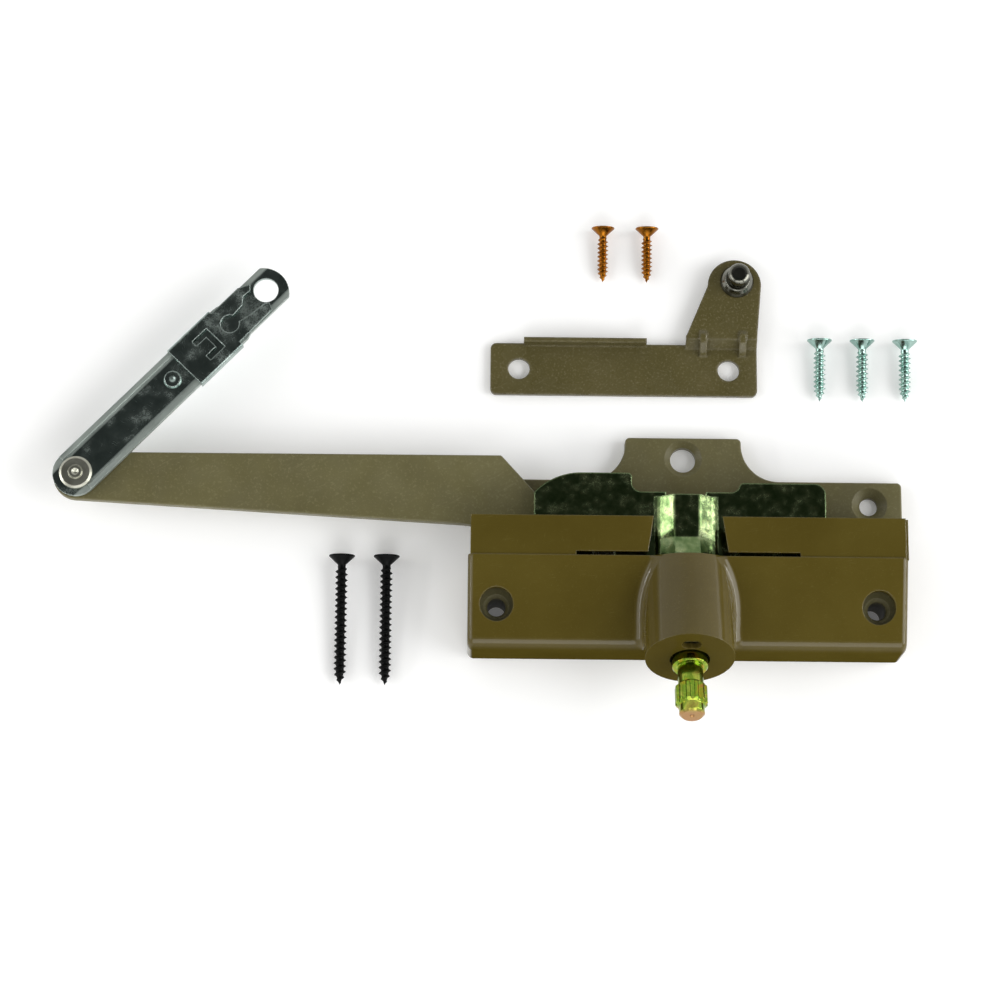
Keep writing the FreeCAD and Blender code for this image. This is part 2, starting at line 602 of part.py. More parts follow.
def operator_arm():
    body = sub_part("operator_arm", "pivot_x", "pivot_y", "arm_bottom")
    tip_x, tip_y = "elbow_x - pivot_x", "elbow_y - pivot_y"
    shoulder_x, shoulder_y = "shoulder_x - pivot_x", "shoulder_y - pivot_y"
    waist_x, waist_y = "waist_x - pivot_x", "waist_y - pivot_y"
    blade = outline(body, "blade", [
        (f"{tip_x} - arm_end", f"{tip_y} + arm_end"), (shoulder_x, shoulder_y),
        (f"{shoulder_x} + 11.2", f"{shoulder_y} - 12.4"), ("-10", "10"), ("0", "hub_radius"),
        ("hub_radius", "0"), ("0", "-hub_radius"), ("-hub_radius", "-4"), ("-24", "7"), (waist_x, waist_y),
        (f"{tip_x} - arm_end", f"{tip_y} - arm_end")])
    pad(body, blade, "arm_thick")
    middle = "arm_thick / 2"
    round_edges(body, "arm_tip", "arm_end - 0.02", [
        (f"{tip_x} - arm_end", f"{tip_y} + arm_end", middle),
        (f"{tip_x} - arm_end", f"{tip_y} - arm_end", middle)])
    round_edges(body, "blade_corners", "1.5", [(shoulder_x, shoulder_y, middle)])
    pad(body, circles(body, "hub", [("0", "0", "hub_radius")]), "arm_thick")
    round_edges(body, "arm_top_edge", "0.5", [("-100", "34", "arm_thick"), ("-100", "15", "arm_thick")])
    angles = (30, 150, 270)
    holes = circles(body, "arm_holes", [
        ("0", "0", "bush_radius + fit_gap"), (tip_x, tip_y, "elbow_hole + fit_gap")] + [
        (f"gear_rivet_reach * cos({angle})", f"gear_rivet_reach * sin({angle})", "rivet_shank + fit_gap")
        for angle in angles], level="arm_thick")
    pocket(body, holes, "arm_thick")

    rivets = sub_part("gear_rivets", "pivot_x", "pivot_y", "arm_bottom")
    places = [(f"gear_rivet_reach * cos({angle})", f"gear_rivet_reach * sin({angle})") for angle in angles]
    pad(rivets, circles(rivets, "gear_rivet_shanks", [(x, y, "rivet_shank") for x, y in places]),
        "arm_thick + gear_thick")
    heads = circles(rivets, "gear_rivet_heads", [(x, y, "rivet_head") for x, y in places], level="-0.7")
    pad(rivets, heads, "0.7")


def sector_gear():
    body = sub_part("sector_gear", "pivot_x", "pivot_y", "arm_bottom + arm_thick")
    pad(body, circles(body, "gear_blank", [("0", "0", "gear_tip")]), "gear_thick")
    doc.recompute()
    away = outline(body, "blank_away", [
        ("0", "0"), ("40 * cos(sector_front)", "40 * sin(sector_front)"), ("-60", "40"),
        ("-60", "-60"), ("40", "-60"), ("40 * cos(sector_back)", "-40 * sin(sector_back)")],
        level="gear_thick")
    pocket(body, away, "gear_thick")
    doc.recompute()
    pad(body, circles(body, "gear_hub", [("0", "0", "hub_radius - 0.6")]), "gear_thick")
    space = [
        (radius, f"{side}(gear_gap / 2 + ({radius} - gear_radius) * tan(flank))")
        for side, radius in (("-", "gear_root"), ("-", "(gear_tip + 0.6)"),
                             ("", "(gear_tip + 0.6)"), ("", "gear_root"))]
    slant = math.tan(TOOTH_SLANT)
    lean = f"{slant} * gear_thick"
    shifted = [(x, f"{y} + {lean}") for x, y in space]
    lower = outline(body, "space_bottom", [(x, f"{y} - {lean}") for x, y in space], level="-gear_thick / 2")
    upper = outline(body, "space_top", shifted, level="gear_thick * 3 / 2")
    doc.recompute()
    cut = loft(body, lower, upper, "SubtractiveLoft")
    doc.recompute()
    step = 360 / value("gear_teeth")
    count = value("gear_spaces")
    pattern(body, "PolarPattern", [cut], "gear_spaces",
            Axis=(origin_feature(body, "Z_Axis"), ""), Angle=step * (count - 1))
    doc.recompute()
    back = body.newObject("PartDesign::PolarPattern", "spaces_behind")
    back.Originals = [cut]
    back.Axis = (origin_feature(body, "Z_Axis"), "")
    back.Reversed = True
    back.Occurrences = 3
    back.Angle = 2 * step
    body.Tip = back
    doc.recompute()
    holes = circles(body, "gear_holes", [("0", "0", "bush_radius + fit_gap")] + [
        (f"gear_rivet_reach * cos({angle})", f"gear_rivet_reach * sin({angle})", "rivet_shank + fit_gap")
        for angle in (30, 150, 270)], level="gear_thick")
    pocket(body, holes, "gear_thick")


def arm_pivot():
    pin = sub_part("arm_pivot_pin", "pivot_x", "pivot_y")
    turned(pin, "pin_section", [
        ("0", "1.6"), ("pin_foot", "1.6"), ("pin_foot", "boss_top"), ("pin_radius", "boss_top"),
        ("pin_radius", "plate_bottom"), ("pin_head", "plate_bottom"),
        ("pin_head", "plate_bottom + plate_thick"), ("pin_radius", "plate_bottom + plate_thick"),
        ("pin_radius - 0.6", "plate_bottom + plate_thick + 1.2"), ("0", "plate_bottom + plate_thick + 1.2")])
    ring("arm_bushing", "pin_radius + run_gap", "bush_radius", "arm_bottom", "arm_thick + gear_thick",
         "pivot_x", "pivot_y")
    ring("lower_pivot_washer", "pin_radius + fit_gap", "hub_washer - 0.9", "boss_top",
         "arm_bottom - boss_top - 0.05", "pivot_x", "pivot_y")
    ring("upper_pivot_washer", "pin_radius + fit_gap", "hub_washer - 0.9",
         "arm_bottom + arm_thick + gear_thick + 0.05", "0.3", "pivot_x", "pivot_y")


# ---- link ---------------------------------------------------------------------------

def link_body(label, level):
    """A body whose own X runs from the elbow to the socket."""
    body = sub_part(label, "elbow_x", "elbow_y", level, Rotation(Vector(0, 0, 1), 45))
    bind(body, "Placement.Rotation.Angle", "link_angle")
    return body


def link_arm():
    body = link_body("link_arm", "link_bottom")
    half = "link_width / 2"
    tip = "link_tip_width / 2"
    bulge = 8.8
    spread = math.asin(value("link_tip_width") / 2 / bulge)
    tip_arc = [spread * step / 6 for step in range(-6, 7)]
    blade = outline(body, "link_blade", [
        (f"-{half}", f"-{half}"), ("link_bead_end", f"-{half}"), ("link_bead_end + 2", f"-{tip}")] + [
        (f"link_tip - {bulge * (1 - math.cos(angle)):.4f}", f"{bulge * math.sin(angle):.4f}")
        for angle in tip_arc] + [
        ("link_bead_end + 2", tip), ("link_bead_end", half), (f"-{half}", half)])
    pad(body, blade, "link_thick")
    middle = "link_thick / 2"
    round_edges(body, "link_end", f"{half} - 0.02",
                [(f"-{half}", f"-{half}", middle), (f"-{half}", half, middle)])
    round_edges(body, "tip_corners", "0.6", [
        (f"link_tip - {bulge * (1 - math.cos(spread)):.4f}", side + tip, middle) for side in ("", "-")])
    beads = (("right", f"-{half}", f"-{half} + link_bead"), ("left", f"{half} - link_bead", half))
    for side, low, high in beads:
        bead = outline(body, f"{side}_bead", block("0", "link_bead_end - 1", low, high),
                       level="link_thick - 0.1")
        pad(body, bead, "link_bead_rise + 0.1")
    holes = circles(body, "link_holes", [
        ("0", "0", "elbow_rivet + run_gap"), ("link_length", "0", "socket_radius"),
        ("stop_at", "0", "rivet_shank + fit_gap")], level="link_thick")
    pocket(body, holes, "link_thick")

    stop = link_body("stop_rivet", "link_bottom")
    turned(stop, "stop_section", [
        ("0", "0"), ("rivet_shank", "0"), ("rivet_shank", "link_thick"), ("stop_head", "link_thick"),
        ("stop_head - 0.4", "link_thick + 1"), ("1.1", "link_thick + 1"), ("0", "link_thick + 0.5")])
    stop.Placement.Rotation = Rotation()
    bind(stop, "Placement.Rotation.Angle", "link_angle")
    bind_base(stop, "Placement.Base", "elbow_x + stop_at * cos(link_angle)",
              "elbow_y + stop_at * sin(link_angle)", "link_bottom")


def elbow():
    rivet = sub_part("link_rivet", "elbow_x", "elbow_y", "arm_bottom")
    deck = "link_bottom + link_thick - arm_bottom + 0.05"
    turned(rivet, "elbow_section", [
        ("0", "-0.9"), ("elbow_head - 1", "-0.9"), ("elbow_head - 0.6", "0"), ("elbow_rivet", "0"),
        ("elbow_rivet", deck), ("elbow_head", deck), ("elbow_head", f"{deck} + 0.7"),
        ("elbow_head - 0.8", f"{deck} + 1.2"), ("2.4", f"{deck} + 1.2"), ("2.1", f"{deck} + 1.9"),
        ("1.2", f"{deck} + 1.9"), ("0", f"{deck} + 1.1")])
    ring("link_washer", "elbow_rivet + fit_gap", "elbow_head + 1", "arm_bottom + arm_thick",
         "link_bottom - arm_bottom - arm_thick - 0.05", "elbow_x", "elbow_y")


def slide_lock():
    body = link_body("slide_lock", "link_bottom")
    inner = "link_width / 2 + lock_gap"
    outer = f"{inner} + lock_thick"
    bottom = "-lock_gap - lock_thick"
    deck = "link_thick + link_bead_rise + lock_gap"
    top = f"{deck} + lock_thick"
    wrap = outline(body, "sleeve", [
        (f"-({outer})", bottom), (outer, bottom), (outer, top), (f"-({outer})", top)],
        "YZ_Plane", "lock_start")
    pad(body, wrap, "lock_end - lock_start")
    round_edges(body, "sleeve_bends", "0.8", [
        ("lock_start + 5", side, top) for side in (outer, f"-({outer})")])
    hollow = outline(body, "sleeve_hollow", [
        (f"-({inner})", "-lock_gap"), (inner, "-lock_gap"), (inner, deck), (f"-({inner})", deck)],
        "YZ_Plane", "lock_end + 0.5")
    pocket(body, hollow, "lock_end - lock_start + 1")
    under = outline(body, "sleeve_open_under", block("lock_start - 1", "lock_end + 1", "-4.6", "4.6"),
                    level="-lock_gap + 0.01")
    pocket(body, under, "lock_thick + 0.2")
    fork = outline(body, "fork", [
        ("lock_end - 1", "-6.9"), ("lock_reach - 1", "-6.6"), ("lock_reach", "-4.2"),
        ("lock_reach - 1.2", "-3.2"), ("lock_reach - 7", "-2.6"), ("lock_hole_at + 1", "-1.2"),
        ("lock_hole_at + 1", "1.2"), ("lock_reach - 7", "1.6"), ("lock_reach - 4.5", "3.6"),
        ("lock_reach - 1.5", "3.4"), ("lock_reach", "5"), ("lock_reach - 4", "7"), ("lock_end - 1", "7")],
        level=deck)
    pad(body, fork, "lock_thick")
    doc.recompute()
    hole = circles(body, "fork_hole", [("lock_hole_at", "0", "lock_hole")], level=top)
    pocket(body, hole, "lock_thick + 0.02")
    window = outline(body, "window", block("lock_start + 8", "lock_start + 14.5", "-4.4", "4.4"), level=top)
    pocket(body, window, "lock_thick + 0.02")
    doc.recompute()
    tab = outline(body, "window_tab", block("lock_start + 7.5", "lock_start + 12.5", "-2.4", "2.4"),
                  level=deck)
    pad(body, tab, "lock_thick")


# ---- sash bracket -------------------------------------------------------------------

def sash_bracket():
    body = sub_part("sash_bracket", "bracket_x", "bracket_y")
    half = "bracket_width / 2"
    foot = outline(body, "foot", block("-bracket_half", "bracket_half", f"-{half}", half))
    pad(body, foot, "bracket_thick")
    middle = "bracket_thick / 2"
    round_edges(body, "foot_corners", "2", [
        ("-bracket_half", f"-{half}", middle), ("-bracket_half", half, middle),
        ("bracket_half", f"-{half}", middle)])
    rise = outline(body, "joggle", [
        (f"{half} - 0.4", "0"), (f"{half} + 2.2", "ear_lift"), (f"{half} + 2.6", "ear_lift"),
        (f"{half} + 2.6", "ear_lift + bracket_thick"), (f"{half} + 1.4", "ear_lift + bracket_thick"),
        (f"{half} - 1.4", "bracket_thick"), (f"{half} - 1.4", "0")], "YZ_Plane", "ear_left")
    pad(body, rise, "bracket_half - ear_left")
    ear = outline(body, "ear", [
        ("ear_left", f"{half} + 2.2"), ("bracket_half", f"{half} + 2.2"), ("ear_x + ear_round", "ear_y"),
        ("ear_x + ear_round", "ear_y + ear_round"), ("ear_x - ear_round", "ear_y + ear_round"),
        ("ear_x - ear_round", "ear_y")],
        level="ear_lift")
    pad(body, ear, "bracket_thick")
    level = "ear_lift + bracket_thick / 2"
    round_edges(body, "ear_end", "ear_round - 0.1", [
        ("ear_x + ear_round", "ear_y + ear_round", level), ("ear_x - ear_round", "ear_y + ear_round", level)])
    lip = outline(body, "upright_lip", block("lip_left", "lip_right", f"{half} - 0.6", f"{half} + 1"),
                  level="0.4")
    pad(body, lip, "lip_top - 0.4")
    for index, gusset_x in enumerate(("ear_left + 4.6", "ear_left + 17.9")):
        gusset = outline(body, f"gusset{index}", [
            (f"{half} - 4.5", "bracket_thick - 0.1"), (f"{half} + 1.6", "ear_lift + bracket_thick - 0.1"),
            (f"{half} + 4.5", "ear_lift + bracket_thick - 0.1"),
            (f"{half} + 3", "ear_lift + bracket_thick + 0.8"),
            (f"{half}", "ear_lift + bracket_thick + 0.6")], "YZ_Plane", gusset_x)
        pad(body, gusset, "2.4")
    holes = circles(body, "bracket_holes", [
        (side + "bracket_screw_x", "0", "bracket_hole") for side in ("", "-")], level="bracket_thick")
    pocket(body, holes, "bracket_thick")
    stud_hole = circles(body, "stud_hole", [("stud_x", "stud_y", "stud_neck + fit_gap")],
                        level="ear_lift + bracket_thick")
    pocket(body, stud_hole, "bracket_thick")

    seat = "ear_lift + bracket_thick"
    stud = sub_part("bracket_stud", "bracket_x + stud_x", "bracket_y + stud_y")
    turned(stud, "stud_section", [
        ("0", "ear_lift - 1"), ("stud_neck + 0.8", "ear_lift - 1"), ("stud_neck + 0.8", "ear_lift"),
        ("stud_neck", "ear_lift"), ("stud_neck", "stud_top - 4.2"), ("stud_ball", "stud_top - 3.4"),
        ("stud_ball", "stud_top - 1.1"), ("stud_ball - 0.3", "stud_top - 0.5"),
        ("stud_ball - 0.9", "stud_top - 0.12"), ("stud_ball - 1.8", "stud_top"), ("0", "stud_top")])
    collar = sub_part("stud_collar_ring", "bracket_x + stud_x", "bracket_y + stud_y")
    turned(collar, "collar_section", [
        ("stud_neck + fit_gap", seat), ("stud_collar", seat), ("stud_collar", f"{seat} + 0.6"),
        ("stud_collar - 0.5", f"{seat} + 1.8"), ("stud_collar - 1.3", f"{seat} + 3"),
        ("stud_collar - 1.7", f"{seat} + 3.4"), ("stud_neck + fit_gap", f"{seat} + 3.4")])
    return stud


# ---- loose wood screws --------------------------------------------------------------

def wood_screws(label, x, y, head, shank, length, count, spacing):
    """A row of flat-head wood screws lying side by side on the rims of their heads and their shanks."""
    tilt = math.degrees(math.atan((head - shank) / (length - 2.4 * shank)))
    body = sub_part(label, str(x), str(y), str(head), Rotation(Vector(1, 0, 0), 90 + tilt))
    taper = head * 0.72
    screw = turned(body, f"{label}_section", [
        ("0", "0"), (f"{head}", "0"), (f"{head}", "0.4"), (f"{shank * 0.72}", f"{taper}"),
        (f"{shank}", f"{taper + 1.2}"), (f"{shank}", f"{length - 2.4 * shank}"), ("0", f"{length}")])
    doc.recompute()
    screw_line = origin_feature(body, "X_Axis")
    arm, thin = head * 0.55, head * 0.13
    recess = outline(body, f"{label}_recess", [
        (str(a * arm + b * thin), str(c * arm + d * thin)) for a, b, c, d in (
            (1, 0, 0, -1), (1, 0, 0, 1), (0, 1, 0, 1), (0, 1, 1, 0), (0, -1, 1, 0), (0, -1, 0, 1),
            (-1, 0, 0, 1), (-1, 0, 0, -1), (0, -1, 0, -1), (0, -1, -1, 0), (0, 1, -1, 0), (0, 1, 0, -1))])
    cut = pocket(body, recess, f"{head * 0.45}", Reversed=True)
    doc.recompute()
    pattern(body, "LinearPattern", [screw, cut], count, Direction=(screw_line, [""]),
            Length=spacing * (count - 1))


def cover():
    body = sub_part("cover")
    shell = outline(body, "shell", [
        ("cover_front", "cover_bottom"), ("cover_front + 0.5", "cover_low"), ("fold_y", "fold_z"),
        ("fold_y", "cover_bottom")], "YZ_Plane", "-cover_x")
    pad(body, shell, "2 * cover_x")
    round_edges(body, "front_edge", "5", [("0", "cover_front + 0.5", "cover_low")])
    round_edges(body, "end_edges", "2.2", [
        (side + "cover_x", "(cover_front + fold_y) / 2", "(cover_low + fold_z) / 2") for side in ("", "-")])
    shaft_cylinder(body, "boss", "Additive", "boss_radius", "46", "46", "0")
    doc.recompute()
    trim = outline(body, "boss_trim", block("-40", "40", "fold_y", "60"), level="60")
    pocket(body, trim, "120")
    doc.recompute()
    low = outline(body, "boss_trim_low", block("-40", "40", "cover_front + 2", "60"), level="cover_bottom")
    pocket(body, low, "60")
    skirt_back = "fold_y - 14"

    def skirt(name, half, front, foot):
        """A section under the boss axis, from the front wall back to where the face meets the axis."""
        sides = outline(body, name, [
            (front, foot), (front, f"boss_face_z - ({front} - boss_face_y) * tan(tilt)"),
            (skirt_back, f"boss_face_z - ({skirt_back} - boss_face_y) * tan(tilt)"), (skirt_back, foot)],
            "YZ_Plane", f"0.1 - {half}")
        return pad(body, sides, f"2 * {half} - 0.2")

    skirt("boss_skirt", "boss_radius", "cover_front + 0.5", "cover_low - 3")
    wall = "cover_wall"
    inside = outline(body, "shell_inside", [
        (f"cover_front + {wall}", "cover_bottom - 1"), (f"cover_front + 0.5 + {wall}", f"cover_low - {wall}"),
        ("fold_y + 1", f"fold_z - {wall} + 0.26"), ("fold_y + 1", "cover_bottom - 1")],
        "YZ_Plane", f"cover_x - {wall}")
    pocket(body, inside, f"2 * (cover_x - {wall})")
    doc.recompute()
    half = "boss_radius - boss_wall - 0.1"
    hollow = outline(body, "skirt_inside", [
        (f"cover_front + 0.5 + {wall}", "cover_low - 6"),
        (f"cover_front + 0.5 + {wall}", "boss_face_z - (cover_front + 2.3 - boss_face_y) * tan(tilt)"),
        (skirt_back, f"boss_face_z - ({skirt_back} - boss_face_y) * tan(tilt)"),
        (skirt_back, "cover_low - 6")],
        "YZ_Plane", half)
    pocket(body, hollow, f"2 * ({half})")
    shaft_cylinder(body, "boss_inside", "Subtractive", "boss_radius - boss_wall", "50", "48", "0")
    for name, x in (("oil_hole_left", "-1"), ("oil_hole_right", "1")):
        shaft_cylinder(body, name, "Subtractive", "2.15", "4", "6", "-oil_hole_rise", x)
    shaft_cylinder(body, "boss_opening", "Subtractive", "boss_hole", "4", "6", "shaft_drop")
    for side in ("left", "right"):
        sign = "-" if side == "left" else ""
        flap = outline(body, f"{side}_flap", [
            (f"{sign}flap_gap_front", "fold_y - 0.6"), (f"{sign}flap_x", "fold_y - 0.6"),
            (f"{sign}flap_x", "flap_y"), (f"{sign}flap_gap_back", "flap_y")], level="fold_z - flap_thick")
        pad(body, flap, "flap_thick - flap_drop")
    doc.recompute()
    for side in ("left", "right"):
        sign = "-" if side == "left" else ""
        slot = outline(body, f"{side}_slot", block(f"{sign}(flap_gap_front - 3)", f"{sign}slot_end",
                                                   "fold_y", "fold_y + slot_width"), level="fold_z + 1")
        pocket(body, slot, "3 + flap_thick")
    end_wall = outline(body, "right_end_wall",
                       block("cover_x - 1.2", "cover_x", "fold_y - 0.5", "flap_y - 0.4"),
                       level="flange_thick + 0.3")
    pad(body, end_wall, "fold_z - 1 - flange_thick")
    holes = circles(body, "cover_holes", [
        (side + "screw_x", "-screw_y", "cover_hole") for side in ("", "-")], level="fold_z")
    pocket(body, holes, "fold_z - tower_top")


base_casting()
retainer_plate()
plate_rivets()
worm_shaft()
bearings()
operator_arm()
sector_gear()
arm_pivot()
link_arm()
elbow()
slide_lock()
sash_bracket()
wood_screws("bracket_screws", -26.8, 115.5, 3.9, 1.85, 18.8, 2, 15.0)
wood_screws("flange_screws", 46.4, 76.4, 4.2, 2.05, 21.0, 3, 14.4)
wood_screws("tower_screws", -113.2, 0.2, 4.3, 2.05, 43.0, 2, 14.8)
cover()
doc.recompute()

problems = [
    f"{item.Label}: {item.State}" for item in doc.Objects
    if {"Invalid", "Error"} & set(item.State)]
problems += [
    f"{node.Label}: shape is null or not valid" for node in NODES
    if node.Shape.isNull() or not node.Shape.isValid()]
if problems:
    raise RuntimeError("\n".join(problems))

os.makedirs("parts", exist_ok=True)
for node in NODES:
    node.Shape.exportStep(f"parts/{node.Label}.step")
    print(f"{node.Label:22s} {len(node.Shape.Solids)} solid(s) {node.Shape.Volume:9.1f} mm3")
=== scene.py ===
"""Looks of the casement window crank operator: its finishes, threaded screws, studio and camera.

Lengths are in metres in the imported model's frame. The CAD nodes keep their shapes; only the loose
screws are replaced, by threaded ones, and the cover gets its moulded fillets beside the crank boss.
"""

import json
import math

import bmesh
import bpy
from mathutils import Matrix, Vector


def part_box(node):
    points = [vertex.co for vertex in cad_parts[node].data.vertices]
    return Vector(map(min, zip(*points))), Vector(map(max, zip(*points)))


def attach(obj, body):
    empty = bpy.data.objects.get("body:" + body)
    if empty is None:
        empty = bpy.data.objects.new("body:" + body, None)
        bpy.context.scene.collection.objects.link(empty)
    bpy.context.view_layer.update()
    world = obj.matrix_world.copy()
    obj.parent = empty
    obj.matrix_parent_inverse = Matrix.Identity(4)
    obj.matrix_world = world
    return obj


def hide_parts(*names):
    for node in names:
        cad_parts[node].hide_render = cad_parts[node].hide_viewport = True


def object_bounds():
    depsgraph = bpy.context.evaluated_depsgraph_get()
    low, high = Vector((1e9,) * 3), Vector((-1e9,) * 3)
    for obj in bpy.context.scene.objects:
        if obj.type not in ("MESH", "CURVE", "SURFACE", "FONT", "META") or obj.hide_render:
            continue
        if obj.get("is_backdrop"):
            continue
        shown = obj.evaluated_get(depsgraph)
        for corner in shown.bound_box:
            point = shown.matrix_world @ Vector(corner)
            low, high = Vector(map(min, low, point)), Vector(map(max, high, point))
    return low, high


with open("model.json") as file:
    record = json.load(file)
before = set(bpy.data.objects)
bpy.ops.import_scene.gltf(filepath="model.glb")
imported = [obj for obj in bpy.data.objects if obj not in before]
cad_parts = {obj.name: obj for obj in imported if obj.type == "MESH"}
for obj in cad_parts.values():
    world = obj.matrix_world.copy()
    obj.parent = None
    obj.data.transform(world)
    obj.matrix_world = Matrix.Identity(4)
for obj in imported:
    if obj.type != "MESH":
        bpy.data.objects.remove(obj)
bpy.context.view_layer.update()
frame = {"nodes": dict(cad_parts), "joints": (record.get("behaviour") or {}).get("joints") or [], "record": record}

MM = 0.001
SLOT_OF = {part["node"]: part["material_slot"] for part in frame["record"]["subparts"]}
BODY_OF = {node: body for body, members in frame["record"]["behaviour"]["bodies"].items()
           for node in members}


# ---- finishes -----------------------------------------------------------------------

def colour(code):
    """The linear colour of a six-digit screen colour."""
    parts = [int(code[i:i + 2], 16) / 255 for i in (0, 2, 4)]
    return [part / 12.92 if part < 0.04045 else ((part + 0.055) / 1.055) ** 2.4 for part in parts] + [1.0]


class Finish:
    """A Principled material whose textures stay fixed to the piece."""

    def __init__(self, name, **sockets):
        self.material = bpy.data.materials.new(name)
        self.material.use_nodes = True
        self.tree = self.material.node_tree
        self.shader = self.tree.nodes["Principled BSDF"]
        for socket, number in sockets.items():
            self.shader.inputs[socket.replace("_", " ")].default_value = number
        self.place = self.tree.nodes.new("ShaderNodeTexCoord").outputs["Object"]

    def feed(self, socket, source):
        if isinstance(source, bpy.types.NodeSocket):
            self.tree.links.new(source, socket)
        else:
            socket.default_value = source

    def add(self, kind, inputs, **settings):
        """A new node with its inputs fed and its settings made."""
        node = self.tree.nodes.new(kind)
        for name, setting in settings.items():
            setattr(node, name, setting)
        for key, source in inputs.items():
            self.feed(node.inputs[key], source)
        return node

    def noise(self, size, detail=3.0, along=1.0, turn=0.0, warp=0.0):
        """Noise from 0 to 1 with features of that size, drawn out along the direction turn."""
        where = self.add("ShaderNodeMapping", {
            "Vector": self.place, "Rotation": (0, 0, turn), "Scale": (size * along, size, size)},
            vector_type="TEXTURE")
        return self.add("ShaderNodeTexNoise", {
            "Vector": where.outputs[0], "Scale": 1.0, "Detail": detail, "Distortion": warp}).outputs[0]

    def level(self, source, low, high, start=0.0, end=1.0):
        """source spread smoothly from start to end as it goes from low to high."""
        return self.add("ShaderNodeMapRange", {
            "Value": source, "From Min": low, "From Max": high, "To Min": start, "To Max": end},
            interpolation_type="SMOOTHSTEP").outputs[0]

    def maths(self, how, first, second):
        """Two numbers or sockets put together: ADD, SUBTRACT, MULTIPLY or MAXIMUM."""
        return self.add("ShaderNodeMath", {0: first, 1: second}, operation=how).outputs[0]

    def ramp(self, source, *stops):
        """The colour at source between the stops, each a position and a linear colour."""
        node = self.add("ShaderNodeValToRGB", {"Fac": source})
        elements = node.color_ramp.elements
        elements.remove(elements[1])
        elements[0].position, elements[0].color = stops[0]
        for position, shade in stops[1:]:
            elements.new(position).color = shade
        return node.outputs[0]

    def blend(self, amount, first, second):
        return self.add("ShaderNodeMix", {0: amount, 6: first, 7: second}, data_type="RGBA").outputs[2]

    def edges(self, radius):
        """1 along sharp edges and 0 on open faces, with the rounded normal that goes with it."""
        rounded = self.add("ShaderNodeBevel", {"Radius": radius}, samples=4).outputs[0]
        flat = self.add("ShaderNodeNewGeometry", {}).outputs["Normal"]
        facing = self.add("ShaderNodeVectorMath", {0: rounded, 1: flat}, operation="DOT_PRODUCT")
        return self.level(facing.outputs["Value"], 0.99, 0.8), rounded

    def facing(self, axis, start, full):
        """0 where the piece's normal has start along that axis, and 1 where it has full."""
        normal = self.add("ShaderNodeTexCoord", {}).outputs["Normal"]
        return self.level(self.add("ShaderNodeSeparateXYZ", {0: normal}).outputs[axis], start, full)

    def across(self, origin, turn, inner, outer):
        """0 near a line through origin along turn, and 1 beyond outer on both sides of it."""
        local = self.add("ShaderNodeMapping", {
            "Vector": self.place, "Location": origin, "Rotation": (0, 0, turn)}, vector_type="TEXTURE")
        side = self.add("ShaderNodeSeparateXYZ", {0: local.outputs[0]}).outputs["Y"]
        distance = self.add("ShaderNodeMath", {0: side}, operation="ABSOLUTE").outputs[0]
        return self.level(distance, inner, outer)

    def scratches(self, width, length, turn):
        """Thin straight marks here and there, along one direction."""
        marks = self.level(self.noise(width, 1.0, length / width, turn), 0.66, 0.72)
        return self.maths("MULTIPLY", marks, self.level(self.noise(length, 2.0), 0.46, 0.6))

    def relief(self, height, depth, normal):
        """A normal bumped by height over depth metres."""
        return self.add("ShaderNodeBump", {
            "Strength": 1.0, "Distance": depth, "Height": height, "Normal": normal}).outputs[0]

    def finished(self, base, roughness, normal):
        self.feed(self.shader.inputs["Base Color"], base)
        self.feed(self.shader.inputs["Roughness"], roughness)
        self.feed(self.shader.inputs["Normal"], normal)
        return self.material


def satin_paint(name, dark, light, worn, gloss=0.38, shine=0.4, bend=0.00035):
    """Sprayed paint on metal: slight orange peel, rubbed edges, faint scuffs."""
    finish = Finish(name, Metallic=0.0, Specular_IOR_Level=shine)
    base = finish.ramp(finish.noise(0.022), (0.3, colour(dark)), (0.7, colour(light)))
    speck = finish.level(finish.noise(0.0007, 2.0), 0.52, 0.75, 0.0, 0.3)
    base = finish.blend(speck, base, colour(worn))
    edge, rounded = finish.edges(bend)
    rubbed = finish.maths("MULTIPLY", edge, finish.level(finish.noise(0.003), 0.4, 0.65, 0.1, 0.55))
    scuffs = finish.maths("MULTIPLY", finish.scratches(0.00025, 0.009, 0.5), 0.22)
    base = finish.blend(finish.maths("MAXIMUM", rubbed, scuffs), base, colour(worn))
    roughness = finish.level(finish.noise(0.009, 4.0), 0.3, 0.7, gloss - 0.05, gloss + 0.1)
    peel = finish.relief(finish.noise(0.0011, 3.0), 0.00003, rounded)
    return finish.finished(base, roughness, peel)


